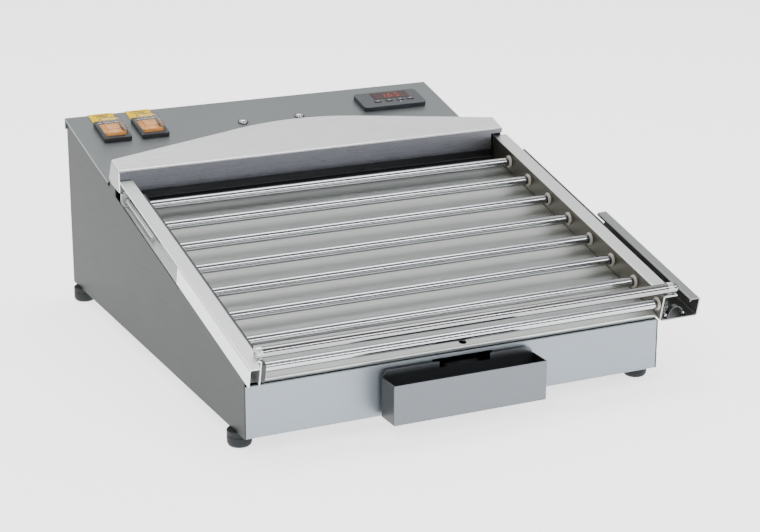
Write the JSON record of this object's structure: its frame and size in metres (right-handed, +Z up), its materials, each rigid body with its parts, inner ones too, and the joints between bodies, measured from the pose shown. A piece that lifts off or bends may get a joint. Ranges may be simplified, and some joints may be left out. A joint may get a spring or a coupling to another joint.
{
  "type": "hot dog roller grill",
  "caption": "Countertop hot dog roller grill with a sloping heated bed, chain-driven chrome rollers, a hooded control panel and a hanging grease box.",
  "frame": {"origin": "on the resting plane, under the middle of the whole object's width and depth", "axes": "+Z up; +Y towards the back, where the control panel is; +X to the operator's right, where the drive channel is"},
  "size_m": [0.4776, 0.5366, 0.2044],
  "materials": {
    "case_steel": "brushed stainless sheet, satin",
    "bright_steel": "brushed stainless sheet, lighter satin",
    "chrome": "polished chrome",
    "black_plastic": "black moulded plastic",
    "slate_plastic": "dark slate moulded plastic",
    "amber_plastic": "translucent amber plastic",
    "clear_plastic": "clear moulded plastic",
    "display_red": "dark red display window",
    "ivory_nylon": "ivory nylon",
    "rubber": "black rubber",
    "label_yellow": "printed yellow label",
    "motor_grey": "grey painted metal",
    "element_alloy": "heat-darkened alloy sheath"
  },
  "bodies": {
    "case": {"base_pan": "case_steel", "left_side_panel": "case_steel", "right_side_panel": "case_steel", "front_panel": "case_steel", "rear_panel": "case_steel", "control_panel": "case_steel", "left_bearing_rail": "case_steel", "right_bearing_rail": "case_steel", "left_guard_rail": "case_steel", "right_guard_rail": "case_steel", "drive_chain": "case_steel", "chain_end_cover": "case_steel", "heat_baffle": "case_steel", "hood": "bright_steel", "bed_plate": "bright_steel", "temperature_probe": "bright_steel", "stop_bar": "chrome", "panel_screw_left": "chrome", "panel_screw_right": "chrome", "left_bearing_strip": "black_plastic", "switch_bezel_left": "black_plastic", "switch_bezel_right": "black_plastic", "power_inlet": "black_plastic", "controller_housing": "slate_plastic", "switch_cover_left": "clear_plastic", "switch_cover_right": "clear_plastic", "controller_window": "display_red", "bushing_1": "ivory_nylon", "bushing_2": "ivory_nylon", "bushing_3": "ivory_nylon", "bushing_4": "ivory_nylon", "bushing_5": "ivory_nylon", "bushing_6": "ivory_nylon", "bushing_7": "ivory_nylon", "bushing_8": "ivory_nylon", "foot_front_left": "rubber", "foot_front_right": "rubber", "foot_rear_left": "rubber", "foot_rear_right": "rubber", "switch_label_left": "label_yellow", "switch_label_right": "label_yellow", "gearmotor": "motor_grey", "heating_element": "element_alloy"},
    "roller_1": {"roller_1": "chrome"},
    "roller_2": {"roller_2": "chrome"},
    "roller_3": {"roller_3": "chrome"},
    "roller_4": {"roller_4": "chrome"},
    "roller_5": {"roller_5": "chrome"},
    "roller_6": {"roller_6": "chrome"},
    "roller_7": {"roller_7": "chrome"},
    "roller_8": {"roller_8": "chrome"},
    "drive_sprocket": {"drive_sprocket": "case_steel"},
    "rocker_left": {"rocker_left": "amber_plastic"},
    "rocker_right": {"rocker_right": "amber_plastic"},
    "grease_box": {"grease_box": "bright_steel"},
    "controller_button_1": {"controller_button_1": "slate_plastic"},
    "controller_button_2": {"controller_button_2": "slate_plastic"},
    "controller_button_3": {"controller_button_3": "slate_plastic"},
    "controller_button_4": {"controller_button_4": "slate_plastic"}
  },
  "joints": [
    {"name": "roller_1_turn", "type": "hinge", "parent": "case", "child": "roller_1", "pos_m": [-0.0102, -0.2347, 0.0804], "axis": [1, 0, 0], "continuous": true},
    {"name": "roller_2_turn", "type": "hinge", "parent": "case", "child": "roller_2", "pos_m": [-0.0102, -0.19244, 0.0907], "axis": [1, 0, 0], "continuous": true},
    {"name": "roller_3_turn", "type": "hinge", "parent": "case", "child": "roller_3", "pos_m": [-0.0102, -0.15018, 0.101], "axis": [1, 0, 0], "continuous": true},
    {"name": "roller_4_turn", "type": "hinge", "parent": "case", "child": "roller_4", "pos_m": [-0.0102, -0.10791, 0.11131], "axis": [1, 0, 0], "continuous": true},
    {"name": "roller_5_turn", "type": "hinge", "parent": "case", "child": "roller_5", "pos_m": [-0.0102, -0.06565, 0.12161], "axis": [1, 0, 0], "continuous": true},
    {"name": "roller_6_turn", "type": "hinge", "parent": "case", "child": "roller_6", "pos_m": [-0.0102, -0.02339, 0.13191], "axis": [1, 0, 0], "continuous": true},
    {"name": "roller_7_turn", "type": "hinge", "parent": "case", "child": "roller_7", "pos_m": [-0.0102, 0.01887, 0.14221], "axis": [1, 0, 0], "continuous": true},
    {"name": "roller_8_turn", "type": "hinge", "parent": "case", "child": "roller_8", "pos_m": [-0.0102, 0.06114, 0.15252], "axis": [1, 0, 0], "continuous": true},
    {"name": "drive_sprocket_turn", "type": "hinge", "parent": "case", "child": "drive_sprocket", "pos_m": [0.1988, 0.1034, 0.16282], "axis": [1, 0, 0], "continuous": true},
    {"name": "rocker_left_tilt", "type": "hinge", "parent": "case", "child": "rocker_left", "pos_m": [-0.1954, 0.22454, 0.18968], "axis": [1, 0, 0], "range_deg": [0, 14]},
    {"name": "rocker_right_tilt", "type": "hinge", "parent": "case", "child": "rocker_right", "pos_m": [-0.1534, 0.22454, 0.18968], "axis": [1, 0, 0], "range_deg": [0, 14]},
    {"name": "controller_button_1_press", "type": "slide", "parent": "case", "child": "controller_button_1", "axis": [0, 0.2445, -0.9697], "range_m": [0, 0.0008], "stiffness_N_per_m": 300},
    {"name": "controller_button_2_press", "type": "slide", "parent": "case", "child": "controller_button_2", "axis": [0, 0.2445, -0.9697], "range_m": [0, 0.0008], "stiffness_N_per_m": 300},
    {"name": "controller_button_3_press", "type": "slide", "parent": "case", "child": "controller_button_3", "axis": [0, 0.2445, -0.9697], "range_m": [0, 0.0008], "stiffness_N_per_m": 300},
    {"name": "controller_button_4_press", "type": "slide", "parent": "case", "child": "controller_button_4", "axis": [0, 0.2445, -0.9697], "range_m": [0, 0.0008], "stiffness_N_per_m": 300},
    {"name": "grease_box_lift_off", "type": "slide", "parent": "case", "child": "grease_box", "axis": [0, -0.7071, 0.7071], "range_m": [0, 0.08]}
  ],
  "couplings": [
    {"joint": "roller_2_turn", "follows": "roller_1_turn", "ratio": 1},
    {"joint": "roller_3_turn", "follows": "roller_1_turn", "ratio": 1},
    {"joint": "roller_4_turn", "follows": "roller_1_turn", "ratio": 1},
    {"joint": "roller_5_turn", "follows": "roller_1_turn", "ratio": 1},
    {"joint": "roller_6_turn", "follows": "roller_1_turn", "ratio": 1},
    {"joint": "roller_7_turn", "follows": "roller_1_turn", "ratio": 1},
    {"joint": "roller_8_turn", "follows": "roller_1_turn", "ratio": 1},
    {"joint": "drive_sprocket_turn", "follows": "roller_1_turn", "ratio": 1}
  ]
}
